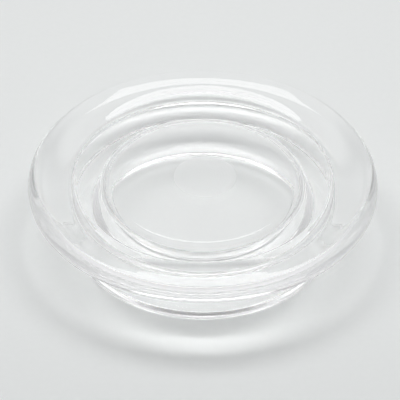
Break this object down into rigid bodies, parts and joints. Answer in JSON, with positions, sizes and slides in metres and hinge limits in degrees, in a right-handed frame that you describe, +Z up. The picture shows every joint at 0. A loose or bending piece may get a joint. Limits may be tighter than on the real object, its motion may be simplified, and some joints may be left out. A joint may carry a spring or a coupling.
{
  "type": "watch glass",
  "caption": "Thick round clear-glass watch glass: a flat plate set a little below a broad crowned rim, on a ring-shaped foot round a hollow underside.",
  "frame": {"origin": "centre of the foot's flat underside, on the surface the dish rests on", "axes": "+Z up along the dish's axis of revolution; X and Y are equivalent"},
  "size_m": [0.067, 0.067, 0.0152],
  "materials": {
    "clear_glass": "polished clear glass"
  },
  "bodies": {
    "root": {"dish": "clear_glass"}
  },
  "joints": []
}
